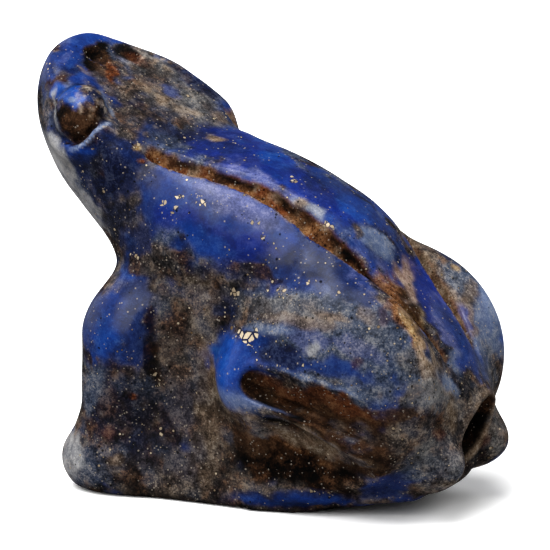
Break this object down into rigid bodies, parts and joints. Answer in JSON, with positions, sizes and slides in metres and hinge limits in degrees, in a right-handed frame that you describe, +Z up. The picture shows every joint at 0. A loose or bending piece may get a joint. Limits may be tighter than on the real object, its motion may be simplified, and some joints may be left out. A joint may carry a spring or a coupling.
{
  "type": "frog amulet",
  "caption": "Small squatting frog carved from one pebble of lapis lazuli, with a hanging bore from under the tail to the chest.",
  "frame": {"origin": "middle of the footprint, on the ground under the frog", "axes": "+Z up, the snout towards -X and the tail towards +X, the frog's left side towards -Y"},
  "size_m": [0.0154, 0.0084, 0.0139],
  "materials": {
    "lapis_lazuli": "polished lapis lazuli with brown earth in the grooves and specks of pyrite"
  },
  "bodies": {
    "root": {"frog": "lapis_lazuli"}
  },
  "joints": []
}
